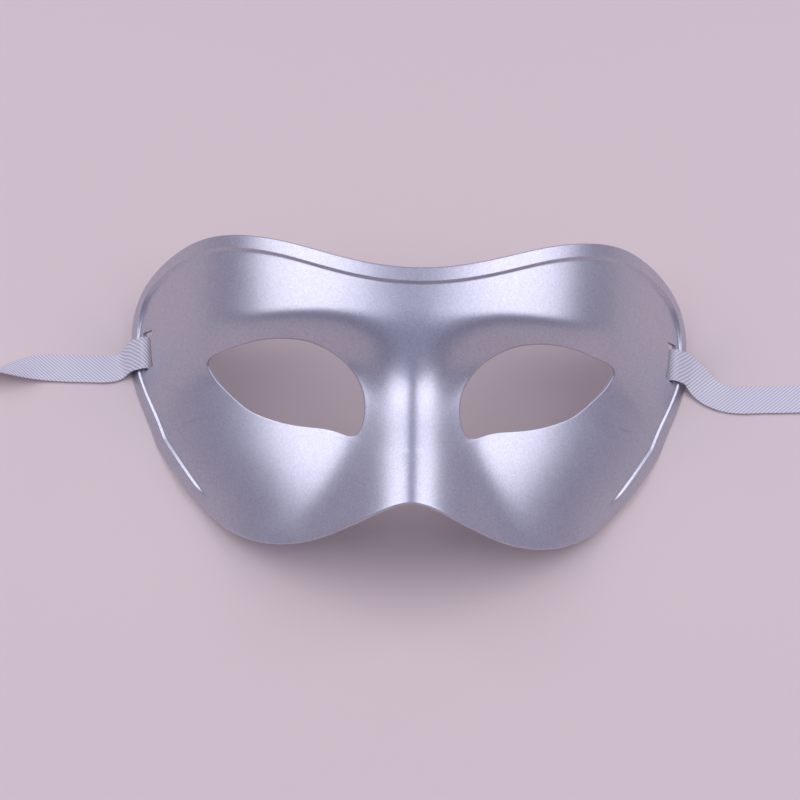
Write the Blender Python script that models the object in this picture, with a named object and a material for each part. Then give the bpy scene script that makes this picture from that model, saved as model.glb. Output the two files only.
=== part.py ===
"""Masquerade half mask, lying face up on its back edges, with two satin tie ribbons.

Units are metres, +Z is up. The mask is drawn in its own front view: x runs across the face,
u runs up the face towards the forehead, and f is how far forward of the temples the surface
stands. The finished mask then leans by REST_LEAN towards the chin side, until its side edges
lie on the plane z = 0, as it lies on a table. The origin is the middle of its footprint.
"""

import math

import bmesh
import bpy
import numpy as np

# Mask, front view; the raised border adds its own rise to the width
MASK_WIDTH = 0.178
MASK_HEIGHT = 0.095
CROWN_DEPTH = 0.048
WRAP_POWER = 2.2
WALL = 0.0013
REST_LEAN = math.radians(15.0)
TABLE_BACK = -0.0014

# Relief of the face
BROW_RISE = 0.0115
NOSE_SLOPE = 1.0
NOSE_ROUND = 0.0096
NOSE_BLEND = 0.0020

# Eye holes
EYE_WIDTH = 0.0477
EYE_HEIGHT = 0.0301
EYE_OFFSET = 0.0375
EYE_DROP = 0.0027

# Raised border along the top and the sides
BORDER_WIDTH = 0.0040
BORDER_RISE = 0.0010
BORDER_STEP = 0.0009
BAND_WIDTH = 0.0155

# Ribbon slots
SLOT_LENGTH = 0.0145
SLOT_WIDTH = 0.0058
SLOT_FROM_RIM = 0.0071
SLOT_HEIGHT = 0.0190

# Ribbons
RIBBON_WIDTH = 0.0100
RIBBON_THICK = 0.0008

# Lines across the band, as distances in from the rim; the slot lies after line SLOT_LINE
BAND_LINES = (
    0.0,
    BORDER_WIDTH,
    BORDER_WIDTH + BORDER_STEP,
    SLOT_FROM_RIM,
    SLOT_FROM_RIM + SLOT_WIDTH,
    BAND_WIDTH,
)
SLOT_LINE = 3

# Mesh steps
STATIONS_ABOVE_SLOT = 28
STATIONS_ON_SLOT = 4
STATIONS_BELOW_SLOT = 28
STATIONS_ON_NOSE = 10
RINGS = 10
DENSE = 1441
WALK_STEPS = 60
TRIM_STEPS = 40
RIM_TRIM = 0.2
SIDE_STARTS = 0.25
SLOPE_STEP = 1e-5
CURVE_OVERLAP = 4
RIBBON_STATIONS = 52
WELD = 2e-6
SHARP = math.radians(35)

# Half outline in the front view, from the middle of the forehead round to the nose arch.
# x: share of half the width; u: share of the height, from the middle of the height.
OUTLINE = (
    ("forehead middle", 0.000, 0.330),
    ("forehead dip", 0.147, 0.344),
    ("brow start", 0.284, 0.380),
    ("brow rise", 0.430, 0.431),
    ("brow", 0.577, 0.475),
    ("brow top", 0.718, 0.499),
    ("temple top", 0.850, 0.482),
    ("temple corner", 0.943, 0.429),
    ("temple side", 0.985, 0.362),
    ("side above slot", 1.002, 0.274),
    ("side at slot", 0.996, 0.150),
    ("side below slot", 0.962, 0.030),
    ("side at eye", 0.900, -0.090),
    ("cheek side", 0.806, -0.221),
    ("cheek corner", 0.706, -0.340),
    ("cheek round", 0.598, -0.426),
    ("cheek bottom", 0.469, -0.475),
    ("cheek inner", 0.335, -0.481),
    ("arch start", 0.199, -0.451),
    ("arch side", 0.074, -0.410),
    ("arch top", 0.000, -0.398),
)

# Eye hole, from the outer tip over the top to the inner tip and back along the bottom.
# x, u: shares of the eye's width and height from the eye's middle, x outwards.
EYE = (
    ("outer tip", 0.520, 0.447),
    ("tip, top", 0.488, 0.486),
    ("outer lid", 0.425, 0.510),
    ("lid", 0.300, 0.537),
    ("highest", 0.150, 0.553),
    ("middle of the lid", -0.010, 0.538),
    ("inner lid", -0.135, 0.500),
    ("inner upper", -0.240, 0.436),
    ("inner high", -0.350, 0.322),
    ("inner", -0.430, 0.175),
    ("inner side", -0.477, 0.010),
    ("inner side, low", -0.489, -0.170),
    ("over the corner", -0.472, -0.330),
    ("inner corner", -0.432, -0.420),
    ("beside the corner", -0.335, -0.372),
    ("inner low", -0.200, -0.310),
    ("low", -0.030, -0.253),
    ("low middle", 0.110, -0.172),
    ("outer low", 0.225, -0.078),
    ("outer lower lid", 0.334, 0.068),
    ("outer side", 0.438, 0.238),
    ("tip, low", 0.505, 0.372),
)

# Sections across the face at heights up it.
# u: share of the height; crown: share of the crown depth; wrap: share of half the width.
SECTIONS = (
    ("chin line", -0.60, 0.800, 0.800),
    ("cheeks", -0.40, 0.835, 0.870),
    ("low eye", -0.20, 0.862, 0.963),
    ("eye", 0.00, 0.860, 1.011),
    ("slot", 0.20, 0.930, 1.014),
    ("brow", 0.40, 0.975, 1.017),
    ("forehead", 0.60, 0.965, 1.005),
)

# The brow stands forward of the eyes by a soft step, BROW_RISE high in the middle.
# x: share of half the width; line: height of the step's middle; reach: height that the step
# takes, both as shares of the mask's height; rise: share of BROW_RISE.
SHELF = (
    ("middle", 0.00, 0.025, 0.420, 1.000),
    ("glabella side", 0.07, 0.040, 0.360, 1.000),
    ("brow head", 0.14, 0.080, 0.270, 1.000),
    ("inner eye", 0.20, 0.108, 0.220, 1.000),
    ("inner lid", 0.27, 0.128, 0.195, 1.000),
    ("over the eye", 0.35, 0.139, 0.185, 1.000),
    ("brow", 0.46, 0.144, 0.185, 1.000),
    ("outer brow", 0.56, 0.143, 0.195, 0.980),
    ("brow tail", 0.64, 0.140, 0.220, 0.920),
    ("outer eye", 0.72, 0.128, 0.260, 0.800),
    ("temple", 0.85, 0.100, 0.340, 0.440),
    ("temple edge", 0.93, 0.085, 0.380, 0.200),
    ("side", 1.00, 0.075, 0.400, 0.000),
)

# Front line of the nose: u: share of the height; front: share of the crown depth.
RIDGE = (
    ("below the arch", -0.45, 1.185),
    ("nose", -0.30, 1.125),
    ("low bridge", -0.20, 1.080),
    ("bridge", -0.14, 1.050),
    ("high bridge", -0.08, 1.025),
    ("dip", -0.03, 1.018),
    ("root", 0.02, 1.033),
    ("glabella", 0.08, 1.058),
    ("under the brow", 0.20, 1.045),
    ("forehead", 0.60, 0.450),
)

# Heights up the face, as shares of its height, between which the border dies away on the cheek.
BORDER_FADE = (-0.335, -0.265)


# Ribbon routes from the tail behind the slot, round its outer side, over the rim and along the
# table to the free end. out, y, z in metres, out from the face's side edge; turn and bank in
# degrees lead the ribbon's width away from +y, towards +x and upwards.
LEFT_ROUTE = (
    (-0.0036, 0.0257, 0.0029, -4, 23),
    (-0.0047, 0.0256, 0.0042, -4, 23),
    (-0.0061, 0.0252, 0.0064, -4, 23),
    (-0.0060, 0.0248, 0.0079, -4, 23),
    (-0.0043, 0.0246, 0.0087, -4, 23),
    (-0.0028, 0.0246, 0.0080, -4, 23),
    (-0.0015, 0.0249, 0.0069, -4, 22),
    (0.0002, 0.0250, 0.0054, -3, 20),
    (0.0020, 0.0247, 0.0027, -2, 14),
    (0.0036, 0.0240, 0.0012, -1, 6),
    (0.0060, 0.0232, 0.0007, 0, 0),
    (0.0120, 0.0229, 0.0006, 0, 0),
    (0.0190, 0.0229, 0.0006, 0, 0),
    (0.0260, 0.0230, 0.0007, 0, -2),
    (0.0310, 0.0226, 0.0015, 0, -10),
    (0.0360, 0.0214, 0.0031, 0, -28),
    (0.0410, 0.0198, 0.0046, 0, -50),
    (0.0455, 0.0186, 0.0052, 0, -70),
    (0.0495, 0.0180, 0.0054, 0, -80),
)
RIGHT_ROUTE = (
    (-0.0036, 0.0257, 0.0029, 4, 23),
    (-0.0047, 0.0256, 0.0042, 4, 23),
    (-0.0061, 0.0252, 0.0064, 4, 23),
    (-0.0060, 0.0248, 0.0079, 4, 23),
    (-0.0043, 0.0246, 0.0087, 4, 23),
    (-0.0028, 0.0246, 0.0080, 4, 23),
    (-0.0015, 0.0249, 0.0069, 5, 23),
    (0.0003, 0.0249, 0.0054, 9, 23),
    (0.0022, 0.0239, 0.0037, 18, 21),
    (0.0040, 0.0225, 0.0027, 26, 16),
    (0.0062, 0.0206, 0.0016, 28, 9),
    (0.0088, 0.0188, 0.0010, 22, 3),
    (0.0120, 0.0175, 0.0006, 10, 0),
    (0.0170, 0.0168, 0.0006, 1, 0),
    (0.0230, 0.0171, 0.0006, -1, 0),
    (0.0300, 0.0174, 0.0006, 0, 0),
    (0.0370, 0.0177, 0.0006, 0, 0),
    (0.0450, 0.0180, 0.0006, 0, 0),
)


def smooth_curve(knots, values):
    """Natural cubic through the knots; returns a function of an array."""
    knots, values = np.asarray(knots, float), np.asarray(values, float)
    steps = np.diff(knots)
    count = len(knots)
    matrix = np.eye(count)
    right = np.zeros(count)
    slopes = np.diff(values) / steps
    for row in range(1, count - 1):
        matrix[row, row - 1:row + 2] = steps[row - 1], 2 * (steps[row - 1] + steps[row]), steps[row]
        right[row] = 6 * (slopes[row] - slopes[row - 1])
    bends = np.linalg.solve(matrix, right)

    def curve(at):
        at = np.clip(at, knots[0], knots[-1])
        row = np.clip(np.searchsorted(knots, at) - 1, 0, count - 2)
        step = steps[row]
        low, high = (knots[row + 1] - at) / step, (at - knots[row]) / step
        bend = (low**3 - low) * bends[row] + (high**3 - high) * bends[row + 1]
        return low * values[row] + high * values[row + 1] + bend * step**2 / 6

    return curve


def column(table, number):
    """One named column of a table."""
    return np.array([row[number] for row in table])


def ease(value):
    """Smooth step from 0 to 1."""
    value = np.clip(value, 0.0, 1.0)
    return value * value * (3 - 2 * value)


def soft_step(value):
    """Smoother step from 0 to 1, whose slope starts and ends without a bend."""
    value = np.clip(value, 0.0, 1.0)
    return value**3 * (value * (value * 6 - 15) + 10)


crown_curve = smooth_curve(column(SECTIONS, 1) * MASK_HEIGHT, column(SECTIONS, 2) * CROWN_DEPTH)
wrap_curve = smooth_curve(column(SECTIONS, 1) * MASK_HEIGHT, column(SECTIONS, 3) * MASK_WIDTH / 2)
shelf_line = smooth_curve(column(SHELF, 1) * MASK_WIDTH / 2, column(SHELF, 2) * MASK_HEIGHT)
shelf_reach = smooth_curve(column(SHELF, 1) * MASK_WIDTH / 2, column(SHELF, 3) * MASK_HEIGHT)
shelf_rise = smooth_curve(column(SHELF, 1) * MASK_WIDTH / 2, column(SHELF, 4) * BROW_RISE)
ridge_curve = smooth_curve(column(RIDGE, 1) * MASK_HEIGHT, column(RIDGE, 2) * CROWN_DEPTH)


def forward(x, u):
    """Height of the face in front of the temples at a place in the front view.

    The face falls away from its crown to both sides and steps forward at the brow. The nose is
    a rounded wedge below its front line. The higher of the two counts, with a soft join.
    """
    wide = np.abs(x)
    face = crown_curve(u) - CROWN_DEPTH * (wide / wrap_curve(u)) ** WRAP_POWER
    face = face + shelf_rise(wide) * soft_step((u - shelf_line(wide)) / shelf_reach(wide) + 0.5)
    bridge = ridge_curve(u) - NOSE_SLOPE * (np.sqrt(x**2 + NOSE_ROUND**2) - NOSE_ROUND)
    return (face + bridge) / 2 + np.sqrt((face - bridge) ** 2 / 4 + NOSE_BLEND**2)


def face_slopes(x, u):
    """Slopes of the face across and up, by small differences."""
    across = (forward(x + SLOPE_STEP, u) - forward(x - SLOPE_STEP, u)) / (2 * SLOPE_STEP)
    up = (forward(x, u + SLOPE_STEP) - forward(x, u - SLOPE_STEP)) / (2 * SLOPE_STEP)
    return across, up


def lay_down(x, u, f):
    """Front view to the rest pose on the table, before centring."""
    y = u * math.cos(REST_LEAN) - f * math.sin(REST_LEAN)
    z = u * math.sin(REST_LEAN) + f * math.cos(REST_LEAN) + TABLE_BACK
    return np.stack([x, y, z], axis=-1)


def stand_off(x, u, rise):
    """Points a set height off the face, square to it; a negative height is behind it."""
    across, up = face_slopes(x, u)
    scale = rise / np.sqrt(across**2 + up**2 + 1)
    return lay_down(x - across * scale, u - up * scale, forward(x, u) + scale)


def border_fade(u):
    """Share of the border's height that is left at a height up the face."""
    low, high = BORDER_FADE[0] * MASK_HEIGHT, BORDER_FADE[1] * MASK_HEIGHT
    return ease((u - low) / (high - low))


def closed_curve(x, u, count):
    """Even points by length along a smooth closed curve through the table's points."""
    x, u = (np.concatenate([part[-CURVE_OVERLAP:], part, part[:CURVE_OVERLAP + 1]]) for part in (x, u))
    length = np.concatenate([[0], np.cumsum(np.hypot(np.diff(x), np.diff(u)))])
    curve_x, curve_u = smooth_curve(length, x), smooth_curve(length, u)
    at = np.linspace(length[CURVE_OVERLAP], length[-CURVE_OVERLAP - 1], count)
    return curve_x(at), curve_u(at)


def trim_at_table(x, u, to_x, to_u, rise):
    """Moves places towards others until what stands off them no longer reaches below the table."""
    low, high = np.zeros_like(x), np.ones_like(x)
    for _ in range(TRIM_STEPS):
        share = (low + high) / 2
        below = stand_off(x + (to_x - x) * share, u + (to_u - u) * share, rise)[..., 2] < 0
        low, high = np.where(below, share, low), np.where(below, high, share)
    share = np.where(stand_off(x, u, rise)[..., 2] < 0, high, 0)
    return x + (to_x - x) * share, u + (to_u - u) * share


def rim_curve():
    """Half outline as dense points with their inward directions and lengths on the surface."""
    x = np.concatenate([column(OUTLINE, 1), -column(OUTLINE, 1)[-2:0:-1]]) * MASK_WIDTH / 2
    u = np.concatenate([column(OUTLINE, 2), column(OUTLINE, 2)[-2:0:-1]]) * MASK_HEIGHT
    x, u = closed_curve(x, u, 2 * DENSE - 1)
    x, u = x[:DENSE], u[:DENSE]
    x[0] = x[-1] = 0.0
    x, u = trim_at_table(x, u, x * (1 - RIM_TRIM), u, BORDER_RISE * border_fade(u))
    along_x, along_u = np.gradient(x), np.gradient(u)
    along_u[0] = along_u[-1] = 0.0
    size = np.hypot(along_x, along_u)
    inward_x, inward_u = along_u / size, -along_x / size
    rise = forward(x, u)
    length = np.concatenate([[0], np.cumsum(np.sqrt(np.diff(x)**2 + np.diff(u)**2 + np.diff(rise)**2))])
    return x, u, inward_x, inward_u, length


def rim_stations():
    """Stations along the rim: even above the slot, on it and below it."""
    x, u, inward_x, inward_u, length = rim_curve()
    side = length > length[-1] * SIDE_STARTS
    middle = length[side][np.searchsorted(-u[side], -SLOT_HEIGHT)]
    top, bottom = middle - SLOT_LENGTH / 2, middle + SLOT_LENGTH / 2
    at = np.concatenate([
        np.linspace(0, top, STATIONS_ABOVE_SLOT + 1)[:-1],
        np.linspace(top, bottom, STATIONS_ON_SLOT + 1)[:-1],
        np.linspace(bottom, length[-1], STATIONS_BELOW_SLOT + 1),
    ])
    return [np.interp(at, length, values) for values in (x, u, inward_x, inward_u)]


def band_grid(distances):
    """Places at set distances in from the rim, measured along the surface."""
    x, u, inward_x, inward_u = rim_stations()
    size = np.hypot(inward_x, inward_u)
    inward_x, inward_u = inward_x / size, inward_u / size
    walked, path = [np.zeros_like(x)], [np.zeros_like(x)]
    step = BAND_WIDTH / WALK_STEPS
    offset = np.zeros_like(x)
    for _ in range(WALK_STEPS):
        across, up = face_slopes(x + inward_x * offset, u + inward_u * offset)
        climb = across * inward_x + up * inward_u
        offset = offset + step / np.sqrt(1 + climb**2)
        walked.append(walked[-1] + step)
        path.append(offset)
    walked, path = np.array(walked), np.array(path)
    grid = np.array([[np.interp(d, walked[:, k], path[:, k]) for d in distances] for k in range(len(x))])
    return x[:, None] + inward_x[:, None] * grid, u[:, None] + inward_u[:, None] * grid


def border_lift(distance, rim_u):
    """Height of the raised border at a distance in from the rim."""
    return BORDER_RISE * (1 - ease((distance - BORDER_WIDTH) / BORDER_STEP)) * border_fade(rim_u)


def eye_places(x, u):
    """For each place on the loop round an eye, the point of the eye hole in line with it."""
    middle_x, middle_u = EYE_OFFSET, -EYE_DROP
    eye_x, eye_u = closed_curve(column(EYE, 1) * EYE_WIDTH, column(EYE, 2) * EYE_HEIGHT, DENSE)
    angle = np.unwrap(np.arctan2(eye_u, eye_x))
    order = np.argsort(angle)
    wanted = np.arctan2(u - middle_u, x - middle_x)
    wanted = angle.min() + (wanted - angle.min()) % (2 * math.pi)
    place_x = np.interp(wanted, angle[order], eye_x[order])
    place_u = np.interp(wanted, angle[order], eye_u[order])
    return place_x + middle_x, place_u + middle_u


def half_places():
    """Places of one half: the band along the rim, and the panel round the eye."""
    band_x, band_u = band_grid(BAND_LINES)
    lift = border_lift(np.array(BAND_LINES)[None, :], band_u[:, :1])
    nose = np.linspace(1, 0, STATIONS_ON_NOSE + 1)[1:-1]
    loop_x = np.concatenate([band_x[:, -1], 0 * nose])
    loop_u = np.concatenate([band_u[:, -1], band_u[0, -1] + (band_u[-1, -1] - band_u[0, -1]) * nose])
    eye_x, eye_u = eye_places(loop_x, loop_u)
    inwards = np.linspace(0, 1, RINGS + 1)[None, :]
    panel_x = loop_x[:, None] + (eye_x - loop_x)[:, None] * inwards
    panel_u = loop_u[:, None] + (eye_u - loop_u)[:, None] * inwards
    return band_x, band_u, lift, panel_x, panel_u


def add_verts(mesh, points):
    """Vertices for a grid of points."""
    return [[mesh.verts.new(point) for point in row] for row in points]


def add_quads(mesh, grid, closed=False, skip=()):
    """Quads over a grid of vertices; closed joins the last row to the first."""
    rows, columns = len(grid), len(grid[0])
    for i in range(rows if closed else rows - 1):
        below = grid[(i + 1) % rows]
        for j in range(columns - 1):
            if (i, j) not in skip:
                mesh.faces.new((grid[i][j], below[j], below[j + 1], grid[i][j + 1]))


def add_wall(mesh, front, back, closed=False):
    """Quads between two rows of vertices, one on the front and one on the back."""
    add_quads(mesh, list(zip(front, back)), closed)


def build_shell():
    """The moulded shell: front, back, rim, eye holes and slots as one closed solid."""
    band_x, band_u, lift, panel_x, panel_u = half_places()
    back_x, back_u = band_x.copy(), band_u.copy()
    back_x[:, 0], back_u[:, 0] = trim_at_table(
        band_x[:, 0], band_u[:, 0], band_x[:, 1], band_u[:, 1], -WALL)
    first, last = STATIONS_ABOVE_SLOT, STATIONS_ABOVE_SLOT + STATIONS_ON_SLOT
    skip = {(row, SLOT_LINE) for row in range(first, last)}
    mesh = bmesh.new()
    for side in (1, -1):
        turn = np.array([side, 1, 1])
        front = add_verts(mesh, stand_off(band_x, band_u, lift) * turn)
        back = add_verts(mesh, stand_off(back_x, back_u, -WALL) * turn)
        front_panel = add_verts(mesh, stand_off(panel_x, panel_u, 0) * turn)
        back_panel = add_verts(mesh, stand_off(panel_x, panel_u, -WALL) * turn)
        for grid in (front, back):
            add_quads(mesh, grid, False, skip)
        for grid in (front_panel, back_panel):
            add_quads(mesh, grid, True)
        add_wall(mesh, [row[0] for row in front], [row[0] for row in back])
        add_wall(mesh, [row[-1] for row in front_panel], [row[-1] for row in back_panel], True)
        round_slot = (
            [(i, SLOT_LINE) for i in range(first, last + 1)]
            + [(i, SLOT_LINE + 1) for i in range(last, first - 1, -1)])
        add_wall(mesh, [front[i][j] for i, j in round_slot], [back[i][j] for i, j in round_slot], True)
    bmesh.ops.remove_doubles(mesh, verts=mesh.verts, dist=WELD)
    bmesh.ops.recalc_face_normals(mesh, faces=mesh.faces)
    return mesh


def middle_of(mesh):
    """Middle of a mesh's footprint along y."""
    along = [vert.co.y for vert in mesh.verts]
    return (min(along) + max(along)) / 2


def ribbon_edges(route, side):
    """Middle line, width direction and thickness direction at even steps along a ribbon."""
    places = np.array([row[:3] for row in route])
    places[:, 0] = side * (MASK_WIDTH / 2 + places[:, 0])
    length = np.concatenate([[0], np.cumsum(np.linalg.norm(np.diff(places, axis=0), axis=1))])
    at = np.linspace(0, length[-1], RIBBON_STATIONS)
    middle = np.stack([smooth_curve(length, places[:, k])(at) for k in range(3)], axis=-1)
    turn, bank = (np.radians(smooth_curve(length, column(route, k))(at)) for k in (3, 4))
    width = np.stack([np.sin(turn) * np.cos(bank), np.cos(turn) * np.cos(bank), np.sin(bank)], axis=-1)
    along = np.gradient(middle, axis=0)
    thick = np.cross(along, width)
    return middle, width, thick / np.linalg.norm(thick, axis=1)[:, None]


def build_ribbon(route, side):
    """A flat ribbon swept along its route, closed at both ends."""
    middle, width, thick = ribbon_edges(route, side)
    corners = ((-1, -1), (1, -1), (1, 1), (-1, 1))
    ring = np.stack([
        middle + width * across * RIBBON_WIDTH / 2 + thick * through * RIBBON_THICK / 2
        for across, through in corners], axis=1)
    mesh = bmesh.new()
    verts = add_verts(mesh, ring)
    add_quads(mesh, [row + row[:1] for row in verts])
    for end in (verts[0], verts[-1]):
        mesh.faces.new(end)
    bmesh.ops.recalc_face_normals(mesh, faces=mesh.faces)
    return mesh


def make_material(name, colour, roughness, metallic):
    """A plain Principled material."""
    material = bpy.data.materials.new(name)
    material.use_nodes = True
    shader = material.node_tree.nodes["Principled BSDF"]
    shader.inputs["Base Color"].default_value = (*colour, 1)
    shader.inputs["Roughness"].default_value = roughness
    shader.inputs["Metallic"].default_value = metallic
    return material


def place_object(name, mesh, material, sharp_angle):
    """Makes an object of a mesh, smooth but for its sharp edges."""
    data = bpy.data.meshes.new(name)
    mesh.to_mesh(data)
    mesh.free()
    data.materials.append(material)
    data.shade_smooth()
    data.set_sharp_from_angle(angle=sharp_angle)
    piece = bpy.data.objects.new(name, data)
    bpy.context.scene.collection.objects.link(piece)
    return piece


def build():
    """The whole mask."""
    for item in list(bpy.data.objects):
        bpy.data.objects.remove(item)
    paint = make_material("silver_paint", (0.62, 0.62, 0.70), 0.32, 0.85)
    satin = make_material("white_satin", (0.80, 0.77, 0.84), 0.45, 0.0)
    shell = build_shell()
    bmesh.ops.translate(shell, verts=shell.verts, vec=(0, -middle_of(shell), 0))
    place_object("mask_shell", shell, paint, SHARP)
    place_object("ribbon_left", build_ribbon(LEFT_ROUTE, -1), satin, SHARP)
    place_object("ribbon_right", build_ribbon(RIGHT_ROUTE, 1), satin, SHARP)


build()
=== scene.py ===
import math

import bmesh
import bpy
import numpy as np
from mathutils import Matrix, Vector


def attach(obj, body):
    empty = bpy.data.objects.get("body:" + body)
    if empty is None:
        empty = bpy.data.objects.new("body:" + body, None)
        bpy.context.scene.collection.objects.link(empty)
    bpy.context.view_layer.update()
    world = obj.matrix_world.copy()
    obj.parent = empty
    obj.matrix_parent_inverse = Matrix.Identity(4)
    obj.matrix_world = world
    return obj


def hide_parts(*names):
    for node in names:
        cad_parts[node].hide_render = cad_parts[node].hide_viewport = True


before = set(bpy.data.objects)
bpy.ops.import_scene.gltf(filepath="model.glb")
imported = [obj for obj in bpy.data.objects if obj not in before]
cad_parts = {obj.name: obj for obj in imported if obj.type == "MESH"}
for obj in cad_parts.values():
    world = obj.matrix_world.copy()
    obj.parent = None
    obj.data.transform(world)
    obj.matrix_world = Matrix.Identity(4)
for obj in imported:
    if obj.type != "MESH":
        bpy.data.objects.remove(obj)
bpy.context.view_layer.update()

mm = 0.001
print("frame loaded:", sorted(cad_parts))


def linear(hexColour):
    # sRGB hex to linear light: ((c + 0.055) / 1.055) ** 2.4, or c / 12.92 for the darkest
    values = [int(hexColour[i:i + 2], 16) / 255 for i in (1, 3, 5)]
    return [v / 12.92 if v <= 0.04045 else ((v + 0.055) / 1.055) ** 2.4 for v in values] + [1.0]


def addNode(owner, kind, settings=None, **links):
    # One node: settings are its own properties or its sockets' values, links their sources
    node = owner.node_tree.nodes.new(kind)
    for name, value in (settings or {}).items():
        if isinstance(name, int) or name in node.inputs:
            node.inputs[name].default_value = value
        else:
            setattr(node, name, value)
    for name, source in links.items():
        owner.node_tree.links.new(source, node.inputs[name])
    return node


def newMaterial(name):
    material = bpy.data.materials.new(name)
    material.use_nodes = True
    material.node_tree.nodes.clear()
    return material


def finishMaterial(material, shader):
    output = addNode(material, "ShaderNodeOutputMaterial")
    material.node_tree.links.new(shader.outputs[0], output.inputs["Surface"])
    return material


# Camera: the photograph's angle to the mask, from the chin side and above the table
camera = {
    "elevation": 60.0,      # degrees above the table
    "around": -2.07,        # degrees to the side
    "roll": 3.10,
    "distance": 521.03 * mm,
    "target": (-3.25 * mm, 2.80 * mm, 20 * mm),
    "focalPixels": 1700.0,
    "picturePixels": 800,
}


def placeCamera(size):
    # Looks back along (sin a cos e, -cos a cos e, sin e) at the target, then rolls about that line
    e, a = math.radians(size["elevation"]), math.radians(size["around"])
    back = Vector((math.sin(a) * math.cos(e), -math.cos(a) * math.cos(e), math.sin(e)))
    right = Vector((math.cos(a), math.sin(a), 0))
    up = back.cross(right)
    roll = Matrix.Rotation(math.radians(size["roll"]), 3, "Z")
    turn = (Matrix((right, up, back)).transposed() @ roll).to_4x4()
    data = bpy.data.cameras.new("camera")
    data.lens = data.sensor_width * size["focalPixels"] / size["picturePixels"]
    data.clip_start = 10 * mm
    item = bpy.data.objects.new("camera", data)
    item.matrix_world = Matrix.Translation(Vector(size["target"]) + back * size["distance"]) @ turn
    bpy.context.scene.collection.objects.link(item)
    bpy.context.scene.camera = item


placeCamera(camera)
print("camera placed")


def smoothCurve(knots, values):
    # Natural cubic through the knots: the second derivatives solve one tridiagonal set of equations
    knots, values = np.asarray(knots, float), np.asarray(values, float)
    steps = np.diff(knots)
    count = len(knots)
    matrix, right = np.eye(count), np.zeros(count)
    slopes = np.diff(values) / steps
    inner = np.arange(1, count - 1)
    matrix[inner, inner - 1], matrix[inner, inner + 1] = steps[:-1], steps[1:]
    matrix[inner, inner] = 2 * (steps[:-1] + steps[1:])
    right[1:-1] = 6 * np.diff(slopes)
    bends = np.linalg.solve(matrix, right)

    def curve(at):
        at = np.clip(at, knots[0], knots[-1])
        row = np.clip(np.searchsorted(knots, at) - 1, 0, count - 2)
        low, high = (knots[row + 1] - at) / steps[row], (at - knots[row]) / steps[row]
        bend = (low**3 - low) * bends[row] + (high**3 - high) * bends[row + 1]
        return low * values[row] + high * values[row + 1] + bend * steps[row]**2 / 6

    return curve


def meshObject(name, points, faces, material, sharp=None, merge=0.0):
    # Edges sharper than the angle in degrees stay sharp; points closer than merge are joined
    data = bpy.data.meshes.new(name)
    data.from_pydata(points, [], faces)
    if merge:
        work = bmesh.new()
        work.from_mesh(data)
        bmesh.ops.remove_doubles(work, verts=work.verts, dist=merge)
        bmesh.ops.recalc_face_normals(work, faces=work.faces)
        work.to_mesh(data)
        work.free()
    data.shade_smooth()
    if sharp:
        data.set_sharp_from_angle(angle=math.radians(sharp))
    data.materials.append(material)
    item = bpy.data.objects.new(name, data)
    bpy.context.scene.collection.objects.link(item)
    return item


# Ribbons: two flat satin ties, each laid round the strip beside its slot and along the table
ribbon = {
    "width": 10.0 * mm,
    "thick": 0.35 * mm,
    "rib": 0.85 * mm,       # from one thread rib to the next
    "ribDepth": 0.06 * mm,
    "ribTurn": 40,          # degrees, mirrored from one side to the other
    # painted shade between the thread ribs and painted sheen on them, as two colours
    "ribPaintedShade": "#b3afba",
    "ribPaintedSheen": "#e4e1e8",
    "steps": 200,
    "across": 10,
    "sharp": 50,
    "merge": 0.0001 * mm,
    "exitRow": 4,           # where the route comes out of the slot
    "pathStep": 5,
}
# Routes from the tail behind the slot to the cut end: x, y, z in millimetres, then turn and bank
# in degrees, which lead the width away from +y, towards +x and upwards
routes = {
    "left": np.array((
        (-85.4, 25.7, 2.9, -4, 23), (-84.3, 25.6, 4.2, -4, 23), (-82.9, 25.2, 6.4, -4, 23),
        (-83.0, 24.8, 7.9, -4, 23), (-84.7, 24.6, 8.7, -4, 23), (-86.2, 24.6, 8.0, -4, 23),
        (-87.5, 24.9, 6.9, -4, 22), (-89.2, 25.0, 5.4, -3, 20), (-91.0, 24.7, 2.7, -2, 14),
        (-92.6, 24.0, 1.2, -1, 6), (-95.0, 23.2, 0.7, 0, 0), (-101.0, 22.9, 0.6, 0, 0),
        (-108.0, 22.9, 0.6, 0, 0), (-115.0, 23.0, 0.7, 0, -2), (-120.0, 22.6, 1.5, 0, -10),
        (-125.0, 21.4, 3.1, 0, -28), (-130.0, 19.8, 4.6, 0, -50), (-134.5, 18.6, 5.2, 0, -70),
        (-138.5, 18.0, 5.4, 0, -80))),
    "right": np.array((
        (85.4, 25.7, 2.9, 4, 23), (84.3, 25.6, 4.2, 4, 23), (82.9, 25.2, 6.4, 4, 23),
        (83.0, 24.8, 7.9, 4, 23), (84.7, 24.6, 8.7, 4, 23), (86.2, 24.6, 8.0, 4, 23),
        (87.5, 24.9, 6.9, 5, 23), (89.3, 24.9, 5.4, 9, 23), (91.2, 23.9, 3.7, 18, 21),
        (93.0, 22.5, 2.7, 26, 16), (95.2, 20.6, 1.6, 28, 9), (97.8, 18.8, 1.0, 22, 3),
        (101.0, 17.5, 0.6, 10, 0), (106.0, 16.8, 0.6, 1, 0), (112.0, 17.1, 0.6, -1, 0),
        (119.0, 17.4, 0.6, 0, 0), (126.0, 17.7, 0.6, 0, 0), (134.0, 18.0, 0.6, 0, 0))),
}


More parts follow.
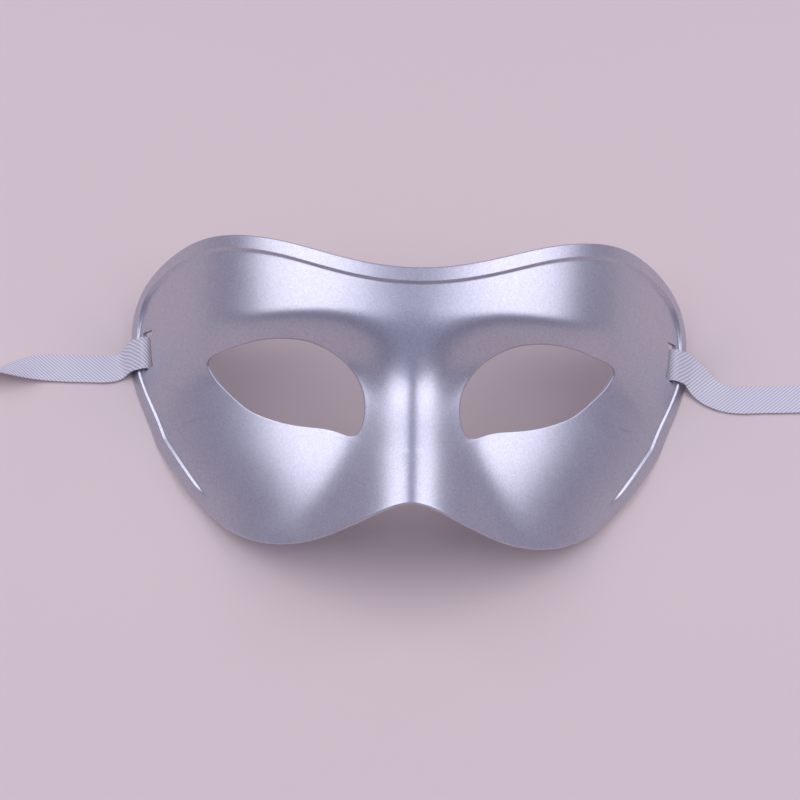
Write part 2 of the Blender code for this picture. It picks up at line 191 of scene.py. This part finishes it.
def ribbonPath(route):
    # Even steps along the cubic through the route; the width turns and banks with it
    places = route[:, :3] * mm
    length = np.concatenate([[0], np.cumsum(np.linalg.norm(np.diff(places, axis=0), axis=1))])
    at = np.linspace(0, length[-1], ribbon["steps"])
    middle = np.stack([smoothCurve(length, places[:, k])(at) for k in range(3)], axis=-1)
    turn, bank = (np.radians(smoothCurve(length, route[:, k])(at)) for k in (3, 4))
    level = np.cos(bank)
    width = np.stack([np.sin(turn) * level, np.cos(turn) * level, np.sin(bank)], axis=-1)
    thick = np.cross(np.gradient(middle, axis=0), width)
    return middle, width, thick / np.linalg.norm(thick, axis=1)[:, None], length[-1]


def buildRibbon(name, route, material):
    # Point = middle + width s w / 2 + thickness t h / 2, with s and t round a flat section
    middle, width, thick, length = ribbonPath(route)
    s = np.linspace(-1, 1, ribbon["across"])
    t = np.ones_like(s)
    ring = np.concatenate([np.stack([s, -t], axis=1), np.stack([s[::-1], t], axis=1)])
    points = (middle[:, None] + width[:, None] * ring[None, :, :1] * ribbon["width"] / 2
              + thick[:, None] * ring[None, :, 1:] * ribbon["thick"] / 2)
    rows, columns = points.shape[:2]
    i, j = np.meshgrid(np.arange(rows - 1), np.arange(columns), indexing="ij")
    i, j = i.ravel(), j.ravel()
    k = (j + 1) % columns
    here, there = i * columns, (i + 1) * columns
    faces = np.stack([here + j, here + k, there + k, there + j], axis=1).tolist()
    end = np.arange(columns)
    faces += [end[::-1].tolist(), (end + (rows - 1) * columns).tolist()]
    points = points.reshape(-1, 3)
    item = meshObject(name, points, faces, material, ribbon["sharp"], ribbon["merge"])
    return item, middle, length


def satin(name, angle):
    # White polyester satin, woven in a fine diagonal twill; the sheen on its thread ribs and the
    # shade between them are painted into the colour as light and dark stripes, with a small bump;
    # the wave texture repeats every pi / (10 scale)
    material = newMaterial(name)
    place = addNode(material, "ShaderNodeTexCoord").outputs["Object"]
    turned = addNode(material, "ShaderNodeMapping", {
        "Rotation": (0, 0, math.radians(angle))}, Vector=place)
    ribs = addNode(material, "ShaderNodeTexWave", {
        "Scale": math.pi / (10 * ribbon["rib"]), "bands_direction": "Y", "Distortion": 0.0},
        Vector=turned.outputs[0])
    # Painted sheen and painted shade: the ribs' light and dark stripes are mixed into the base
    # colour
    tone = addNode(material, "ShaderNodeMix", {
        "data_type": "RGBA", 6: linear(ribbon["ribPaintedShade"]), 7: linear(ribbon["ribPaintedSheen"])})
    material.node_tree.links.new(ribs.outputs["Fac"], tone.inputs[0])
    bump = addNode(material, "ShaderNodeBump", {"Strength": 0.25, "Distance": ribbon["ribDepth"]})
    material.node_tree.links.new(ribs.outputs["Fac"], bump.inputs["Height"])
    shader = addNode(material, "ShaderNodeBsdfPrincipled", {"Roughness": 0.45, "Sheen Weight": 0.2})
    material.node_tree.links.new(tone.outputs[2], shader.inputs["Base Color"])
    material.node_tree.links.new(bump.outputs[0], shader.inputs["Normal"])
    return finishMaterial(material, shader)


for side, route in routes.items():
    cloth = satin("white_satin_" + side, ribbon["ribTurn"] * (1 if side == "left" else -1))
    tie, middle, length = buildRibbon("satin_tie_" + side, route, cloth)
    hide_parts("ribbon_" + side)
    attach(tie, "root")
    print("ribbon", side, round(length / mm, 1), "mm long")


def ease(value):
    # 3 t^2 - 2 t^3 between 0 and 1
    value = np.clip(value, 0.0, 1.0)
    return value * value * (3 - 2 * value)


def softStep(value):
    # t^3 (6 t^2 - 15 t + 10) between 0 and 1
    value = np.clip(value, 0.0, 1.0)
    return value**3 * (value * (value * 6 - 15) + 10)


# Mask shell: sizes as in the frame; the tables hold shares of them
mask = {
    "width": 178 * mm,
    "height": 95 * mm,
    "crownDepth": 48 * mm,
    "wrapPower": 2.2,
    "wall": 1.3 * mm,
    "restLean": math.radians(15),
    "tableBack": -1.4 * mm,
    "browRise": 11.5 * mm,
    "noseSlope": 1.00,
    "noseRound": 9.6 * mm,
    "noseBlend": 2.0 * mm,
    "eyeWidth": 47.7 * mm,
    "eyeHeight": 30.1 * mm,
    "eyeOffset": 37.5 * mm,
    "eyeDrop": 2.7 * mm,
    "borderWidth": 4.0 * mm,
    "borderRise": 1.0 * mm,
    "borderStep": 0.9 * mm,
    "borderCrease": 0.1 * mm,        # holds the border's face flat up to its step
    "borderSide": 0.55,              # share of its rise at the sides
    "borderFade": (-0.335, -0.265),  # shares of the height between which it dies away
    "borderGrows": (0.18, 0.38),     # and between which it grows to its full rise
    "bandWidth": 15.5 * mm,
    "bandLines": (7, 9, 5, 9, 4),    # across the border, its step, up to the slot, on it, past it
    "slotLength": 14.5 * mm,
    "slotWidth": 5.8 * mm,
    "slotFromRim": 7.1 * mm,
    "slotHeight": 19 * mm,
    "edgeRound": 0.35 * mm,
    "edgeShares": (0, 0.08, 0.25, 0.55, 1.0),
    "rimTrim": 0.8,                  # share of x that the table may cut the rim back to
    "sideStarts": 0.25,              # share of the rim's length before the slot is looked for
    "stations": (120, 22, 110, 52),  # above the slot, on it, below it, up the nose
    "rings": 46,
    "rimPoints": 2881,
    "eyePoints": 5761,
    "walkSteps": 160,
    "trimSteps": 40,
    "slopeStep": 0.01 * mm,
    "sharp": 50,
    "merge": 0.002 * mm,
}
outline = np.array((  # half outline: share of half the width, share of the height
    (0.000, 0.330), (0.147, 0.344), (0.284, 0.380), (0.430, 0.431), (0.577, 0.475),
    (0.718, 0.499), (0.850, 0.482), (0.943, 0.429), (0.985, 0.362), (1.002, 0.274),
    (0.996, 0.150), (0.962, 0.030), (0.900, -0.090), (0.806, -0.221), (0.706, -0.340),
    (0.598, -0.426), (0.469, -0.475), (0.335, -0.481), (0.199, -0.451), (0.074, -0.410),
    (0.000, -0.398)))
eyeOutline = np.array((  # shares of the eye hole's width and height, outer tip first
    (0.520, 0.447), (0.488, 0.486), (0.425, 0.510), (0.300, 0.537), (0.150, 0.553),
    (-0.010, 0.538), (-0.135, 0.500), (-0.240, 0.436), (-0.350, 0.322), (-0.430, 0.175),
    (-0.477, 0.010), (-0.489, -0.170), (-0.472, -0.330), (-0.432, -0.420), (-0.335, -0.372),
    (-0.200, -0.310), (-0.030, -0.253), (0.110, -0.172), (0.225, -0.078), (0.334, 0.068),
    (0.438, 0.238), (0.505, 0.372)))
sections = np.array((  # share of the height, of the crown depth, of half the width
    (-0.60, 0.800, 0.800), (-0.40, 0.835, 0.870), (-0.20, 0.862, 0.963), (0.00, 0.860, 1.011),
    (0.20, 0.930, 1.014), (0.40, 0.975, 1.017), (0.60, 0.965, 1.005)))
# The brow's lower slope: share of half the width, then its middle and its reach as shares of
# the height, and its share of the brow's rise
shelf = np.array((
    (0.00, 0.025, 0.420, 1.000), (0.07, 0.040, 0.360, 1.000), (0.14, 0.080, 0.270, 1.000),
    (0.20, 0.108, 0.220, 1.000), (0.27, 0.128, 0.195, 1.000), (0.35, 0.139, 0.185, 1.000),
    (0.46, 0.144, 0.185, 1.000), (0.56, 0.143, 0.195, 0.980), (0.64, 0.140, 0.220, 0.920),
    (0.72, 0.128, 0.260, 0.800), (0.85, 0.100, 0.340, 0.440), (0.93, 0.085, 0.380, 0.200),
    (1.00, 0.075, 0.400, 0.000)))
ridge = np.array((  # share of the height, of the crown depth: front line of the nose
    (-0.45, 1.185), (-0.30, 1.125), (-0.20, 1.080), (-0.14, 1.050), (-0.08, 1.025),
    (-0.03, 1.018), (0.02, 1.033), (0.08, 1.058), (0.20, 1.045), (0.60, 0.450)))

crownCurve = smoothCurve(sections[:, 0] * mask["height"], sections[:, 1] * mask["crownDepth"])
wrapCurve = smoothCurve(sections[:, 0] * mask["height"], sections[:, 2] * mask["width"] / 2)
shelfLine = smoothCurve(shelf[:, 0] * mask["width"] / 2, shelf[:, 1] * mask["height"])
shelfReach = smoothCurve(shelf[:, 0] * mask["width"] / 2, shelf[:, 2] * mask["height"])
shelfRise = smoothCurve(shelf[:, 0] * mask["width"] / 2, shelf[:, 3] * mask["browRise"])
ridgeCurve = smoothCurve(ridge[:, 0] * mask["height"], ridge[:, 1] * mask["crownDepth"])


def forward(x, u):
    # Face = crown - depth (|x| / wrap)^power + brow step; nose = ridge minus a rounded wedge,
    # slope (sqrt(x^2 + r^2) - r); the two join as (a + b) / 2 + sqrt((a - b)^2 / 4 + blend^2)
    wide = np.abs(x)
    face = crownCurve(u) - mask["crownDepth"] * (wide / wrapCurve(u)) ** mask["wrapPower"]
    face = face + shelfRise(wide) * softStep((u - shelfLine(wide)) / shelfReach(wide) + 0.5)
    tip = mask["noseRound"]
    bridge = ridgeCurve(u) - mask["noseSlope"] * (np.sqrt(x**2 + tip**2) - tip)
    return (face + bridge) / 2 + np.sqrt((face - bridge) ** 2 / 4 + mask["noseBlend"] ** 2)


def faceSlopes(x, u):
    # Central differences across and up
    step = mask["slopeStep"]
    across = (forward(x + step, u) - forward(x - step, u)) / (2 * step)
    up = (forward(x, u + step) - forward(x, u - step)) / (2 * step)
    return across, up


def standOff(x, u, rise):
    # Point on the face plus its unit normal times rise, leant back onto the table
    across, up = faceSlopes(x, u)
    scale = rise / np.sqrt(across**2 + up**2 + 1)
    x, u, f = x - across * scale, u - up * scale, forward(x, u) + scale
    cos, sin = math.cos(mask["restLean"]), math.sin(mask["restLean"])
    return np.stack([x, u * cos - f * sin, u * sin + f * cos + mask["tableBack"]], axis=-1)


def borderFade(u):
    # 0 on the low cheeks, then the side's share, then 1 from the temples up
    fade, grow = (ease((u / mask["height"] - low) / (high - low))
                  for low, high in (mask["borderFade"], mask["borderGrows"]))
    return fade * (mask["borderSide"] + (1 - mask["borderSide"]) * grow)


def trimAtTable(x, u, toX, toU, rise):
    # Halves the way towards (toX, toU) until the point that stands off is on the table
    low, high = np.zeros_like(x), np.ones_like(x)
    for _ in range(mask["trimSteps"]):
        share = (low + high) / 2
        below = standOff(x + (toX - x) * share, u + (toU - u) * share, rise)[..., 2] < 0
        low, high = np.where(below, share, low), np.where(below, high, share)
    share = np.where(standOff(x, u, rise)[..., 2] < 0, high, 0)
    return x + (toX - x) * share, u + (toU - u) * share


def closedCurve(x, u, count, wrap=4):
    # Even steps by length along the cubic through the points, which repeats at its ends
    x, u = (np.concatenate([part[-wrap:], part, part[:wrap + 1]]) for part in (x, u))
    length = np.concatenate([[0], np.cumsum(np.hypot(np.diff(x), np.diff(u)))])
    at = np.linspace(length[wrap], length[-wrap - 1], count)
    return smoothCurve(length, x)(at), smoothCurve(length, u)(at)


def rimStations():
    # Half outline at even steps above the slot, on it and below it, with its inward directions
    dense = mask["rimPoints"]
    full = np.concatenate([outline, outline[-2:0:-1] * (-1, 1)])
    x, u = closedCurve(full[:, 0] * mask["width"] / 2, full[:, 1] * mask["height"], 2 * dense - 1)
    x, u = x[:dense], u[:dense]
    x[0] = x[-1] = 0.0
    x, u = trimAtTable(x, u, x * mask["rimTrim"], u, mask["borderRise"] * borderFade(u))
    alongX, alongU = np.gradient(x), np.gradient(u)
    alongU[0] = alongU[-1] = 0.0
    size = np.hypot(alongX, alongU)
    inX, inU = alongU / size, -alongX / size
    steps = np.diff(np.stack([x, u, forward(x, u)]), axis=1)
    length = np.concatenate([[0], np.cumsum(np.sqrt((steps**2).sum(axis=0)))])
    lower = length > length[-1] * mask["sideStarts"]
    middle = length[lower][np.searchsorted(-u[lower], -mask["slotHeight"])]
    top, bottom = middle - mask["slotLength"] / 2, middle + mask["slotLength"] / 2
    above, on, below, _ = mask["stations"]
    at = np.concatenate([
        np.linspace(0, top, above + 1)[:-1],
        np.linspace(top, bottom, on + 1)[:-1],
        np.linspace(bottom, length[-1], below + 1)])
    return [np.interp(at, length, values) for values in (x, u, inX, inU)]


def bandGrid(distances):
    # Walks in from the rim: each step moves step / sqrt(1 + slope^2) in the front view
    walk = mask["walkSteps"]
    x, u, inX, inU = rimStations()
    size = np.hypot(inX, inU)
    inX, inU = inX / size, inU / size
    step = mask["bandWidth"] / walk
    path = [np.zeros_like(x)]
    for _ in range(walk):
        across, up = faceSlopes(x + inX * path[-1], u + inU * path[-1])
        path.append(path[-1] + step / np.sqrt(1 + (across * inX + up * inU)**2))
    path = np.array(path)
    at = np.array(distances) / step
    low = np.clip(at.astype(int), 0, walk - 1)
    grid = (path[low] + (path[low + 1] - path[low]) * (at - low)[:, None]).T
    return x[:, None] + inX[:, None] * grid, u[:, None] + inU[:, None] * grid


def edgeDrop(distance):
    # A quarter circle at a cut edge: r - sqrt(r^2 - (r - d)^2) within r of it
    r = mask["edgeRound"]
    inside = np.clip(r - distance, 0, r)
    return r - np.sqrt(r * r - inside * inside)


def eyePlaces(x, u):
    # The point of the eye hole at the same polar angle about its middle
    tableX, tableU = eyeOutline[:, 0] * mask["eyeWidth"], eyeOutline[:, 1] * mask["eyeHeight"]
    eyeX, eyeU = closedCurve(tableX, tableU, mask["eyePoints"])
    angle = np.unwrap(np.arctan2(eyeU, eyeX))
    order = np.argsort(angle)
    wanted = np.arctan2(u + mask["eyeDrop"], x - mask["eyeOffset"])
    wanted = angle.min() + (wanted - angle.min()) % (2 * math.pi)
    placeX = np.interp(wanted, angle[order], eyeX[order]) + mask["eyeOffset"]
    placeU = np.interp(wanted, angle[order], eyeU[order]) - mask["eyeDrop"]
    return placeX, placeU


def gridFaces(rows, columns, start, closed=False, skip=None):
    # Quads over a grid of indices; closed joins the last row to the first
    last = rows if closed else rows - 1
    i, j = np.meshgrid(np.arange(last), np.arange(columns - 1), indexing="ij")
    keep = np.ones(i.shape, bool) if skip is None else ~skip
    here, there = i[keep] * columns + j[keep], (i[keep] + 1) % rows * columns + j[keep]
    return np.stack([here, there, there + 1, here + 1], axis=1) + start


def buildMask(material):
    # Front and back are the same grids, set off by the border's rise and by the wall; rows of
    # quads close the rim, the eye holes and the slots between them
    size = mask
    step = size["borderWidth"] + size["borderStep"]
    slotLow, slotHigh = size["slotFromRim"], size["slotFromRim"] + size["slotWidth"]
    r = size["edgeRound"]
    near = np.array(size["edgeShares"]) * r
    onBorder, onStep, toSlot, onSlot, pastSlot = size["bandLines"]
    lines = np.concatenate([
        near, np.linspace(r, size["borderWidth"] - size["borderCrease"], onBorder)[1:],
        np.linspace(size["borderWidth"], step, onStep),
        np.linspace(step, slotLow, toSlot)[1:], np.linspace(slotLow, slotHigh, onSlot)[1:],
        np.linspace(slotHigh, size["bandWidth"], pastSlot)[1:]])
    bandX, bandU = bandGrid(lines)
    rimU = bandU[:, :1]
    foot = ease((lines - size["borderWidth"]) / size["borderStep"])
    lift = size["borderRise"] * (1 - foot) * borderFade(rimU)
    up = np.linspace(1, 0, size["stations"][3] + 1)[1:-1]
    loopX = np.concatenate([bandX[:, -1], 0 * up])
    loopU = np.concatenate([bandU[:, -1], bandU[0, -1] + (bandU[-1, -1] - bandU[0, -1]) * up])
    eyeX, eyeU = eyePlaces(loopX, loopU)
    reach = np.hypot(eyeX - loopX, eyeU - loopU)[:, None]
    share = np.linspace(0, 1, size["rings"] + 1)[None, :]
    rings = reach * (1 - share[:, :-1]) + r * share[:, :-1]
    away = np.concatenate([rings, near[::-1] + 0 * reach], axis=1)
    inwards = 1 - away / reach
    panelX = loopX[:, None] + (eyeX - loopX)[:, None] * inwards
    panelU = loopU[:, None] + (eyeU - loopU)[:, None] * inwards
    # The back's lines near the rim also end on the table
    backX, backU = bandX.copy(), bandU.copy()
    rounded = len(near) - 1
    toX, toU = bandX[:, 2 * rounded], bandU[:, 2 * rounded]
    for line in range(rounded):
        backX[:, line], backU[:, line] = trimAtTable(
            bandX[:, line], bandU[:, line], toX, toU, -size["wall"])
    above, on, _, _ = size["stations"]
    first = int(np.argmin(abs(lines - slotLow)))
    last = int(np.argmin(abs(lines - slotHigh)))
    rows, columns = bandX.shape
    i, j = np.meshgrid(np.arange(rows - 1), np.arange(columns - 1), indexing="ij")
    skip = (i >= above) & (i < above + on) & (j >= first) & (j < last)
    parts, faces, count = [], [], 0
    for side in (1, -1):
        turn = np.array([side, 1, 1])
        grids = (
            (standOff(bandX, bandU, lift - edgeDrop(lines)), False, skip),
            (standOff(backX, backU, edgeDrop(lines) - size["wall"]), False, skip),
            (standOff(panelX, panelU, -edgeDrop(away)), True, None),
            (standOff(panelX, panelU, edgeDrop(away) - size["wall"]), True, None))
        starts = []
        for points, closed, hole in grids:
            starts.append(count)
            parts.append((points * turn).reshape(-1, 3))
            faces.append(gridFaces(points.shape[0], points.shape[1], count, closed, hole))
            count += points.shape[0] * points.shape[1]
        rim = np.arange(rows) * columns
        panelRows, panelColumns = panelX.shape
        eye = np.arange(panelRows) * panelColumns + panelColumns - 1
        across, along = np.arange(first, last + 1), np.arange(above, above + on + 1)
        slot = np.concatenate([
            along * columns + first, (above + on) * columns + across[1:],
            along[::-1][1:] * columns + last, above * columns + across[::-1][1:-1]])
        for loop, front, back, closed in (
                (rim, starts[0], starts[1], False), (eye, starts[2], starts[3], True),
                (slot, starts[0], starts[1], True)):
            other = np.roll(loop, -1)
            quads = np.stack([front + loop, front + other, back + other, back + loop], axis=1)
            faces.append(quads if closed else quads[:-1])
    points = np.concatenate(parts)
    points[:, 1] -= (points[:, 1].min() + points[:, 1].max()) / 2
    points[:, 2] = np.maximum(points[:, 2], 0)  # the cut side edges lie flat on the table
    faces = np.concatenate(faces).tolist()
    return meshObject("mask_face", points, faces, material, size["sharp"], size["merge"])


# The flakes are drawn coarser than the real ones, which are too fine for the picture
paint = {
    "flake": 0.35 * mm,
    "flakeDepth": 0.05 * mm,
    "cloud": 9 * mm,
    "darkFlake": "#b8b7c0",
    "brightFlake": "#cdccd6",
    "roughness": (0.32, 0.37),
}


def silverPaint():
    # Sprayed silver metallic paint on moulded plastic: fine aluminium flake under a soft satin
    # lacquer, which gives wide soft highlights and a faint sparkle
    material = newMaterial("silver_spray_paint")
    place = addNode(material, "ShaderNodeTexCoord").outputs["Object"]
    flake = addNode(material, "ShaderNodeTexVoronoi", {"Scale": 1 / paint["flake"]}, Vector=place)
    cloud = addNode(material, "ShaderNodeTexNoise", {
        "Scale": 1 / paint["cloud"], "Detail": 3.0}, Vector=place)
    tone = addNode(material, "ShaderNodeMix", {
        "data_type": "RGBA", 6: linear(paint["darkFlake"]), 7: linear(paint["brightFlake"])})
    material.node_tree.links.new(flake.outputs["Color"], tone.inputs[0])
    rough = addNode(material, "ShaderNodeMapRange", {
        "To Min": paint["roughness"][0], "To Max": paint["roughness"][1]})
    material.node_tree.links.new(cloud.outputs["Fac"], rough.inputs["Value"])
    bump = addNode(material, "ShaderNodeBump", {"Strength": 0.14, "Distance": paint["flakeDepth"]})
    material.node_tree.links.new(flake.outputs["Distance"], bump.inputs["Height"])
    shader = addNode(material, "ShaderNodeBsdfPrincipled", {
        "Metallic": 0.9, "Coat Weight": 0.15, "Coat Roughness": 0.35})
    material.node_tree.links.new(tone.outputs[2], shader.inputs["Base Color"])
    material.node_tree.links.new(rough.outputs[0], shader.inputs["Roughness"])
    material.node_tree.links.new(bump.outputs[0], shader.inputs["Normal"])
    return finishMaterial(material, shader)


face = buildMask(silverPaint())
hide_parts("mask_shell")
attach(face, "root")
print("mask face:", len(face.data.polygons), "quads")

# Plain pale table top and soft studio light
studio = {
    "table": "#dccbc7",
    "tableHalf": 1.5,
    "tableDrop": 0.2 * mm,   # just under the mask, so that the two don't flicker
    "boxRadiance": 1.80,     # of each softbox, in the units of the world's strength
    "boxColour": "#f8f7ff",
    "boxSize": (0.80, 1.10),
    "boxDistance": 1.0,
    "boxBack": 50 * mm,
    "boxFromTop": 35.5,      # degrees from straight above
    "room": (                # sine of the height above the horizon, colour of the room there
        (0.03, "#cabfcb"),
        (0.16, "#76738e"),
        (0.97, "#9699b6")),
}


def buildTable():
    material = newMaterial("pale_table")
    shader = addNode(material, "ShaderNodeBsdfPrincipled", {
        "Roughness": 0.7, "Base Color": linear(studio["table"])})
    finishMaterial(material, shader)
    half, low = studio["tableHalf"], -studio["tableDrop"]
    corners = [(-half, -half, low), (half, -half, low), (half, half, low), (-half, half, low)]
    table = meshObject("table_top", corners, [(0, 1, 2, 3)], material)


def addSoftbox(name, place, size, radiance, colour):
    # An area light's power is its radiance times pi times its area
    data = bpy.data.lights.new(name, "AREA")
    data.shape = "RECTANGLE"
    data.size, data.size_y = size
    data.energy = radiance * math.pi * size[0] * size[1]
    data.color = linear(colour)[:3]
    item = bpy.data.objects.new(name, data)
    way = Vector(place).normalized()
    across = Vector((0, 1, 0)).cross(way).normalized()
    turn = Matrix((across, way.cross(across), way)).transposed().to_4x4()
    item.matrix_world = Matrix.Translation(Vector(place)) @ turn
    bpy.context.scene.collection.objects.link(item)


buildTable()
for side in (-1, 1):
    angle, far = math.radians(studio["boxFromTop"]), studio["boxDistance"]
    place = (side * math.sin(angle) * far, studio["boxBack"], math.cos(angle) * far)
    addSoftbox("softbox_left" if side < 0 else "softbox_right", place, studio["boxSize"],
               studio["boxRadiance"], studio["boxColour"])
world = bpy.data.worlds.new("studio")
world.use_nodes = True
way = addNode(world, "ShaderNodeTexCoord").outputs["Generated"]
height = addNode(world, "ShaderNodeSeparateXYZ", Vector=way)
ramp = addNode(world, "ShaderNodeValToRGB", Fac=height.outputs["Z"])
stops = ramp.color_ramp.elements
stops.new(0.5)  # the new ramp has two stops, and the room needs three
for stop, (position, colour) in zip(stops, studio["room"]):
    stop.position = position
    stop.color = linear(colour)
background = world.node_tree.nodes["Background"]
world.node_tree.links.new(ramp.outputs["Color"], background.inputs["Color"])
bpy.context.scene.world = world
bpy.context.scene.view_settings.view_transform = "Standard"
print("stage set")
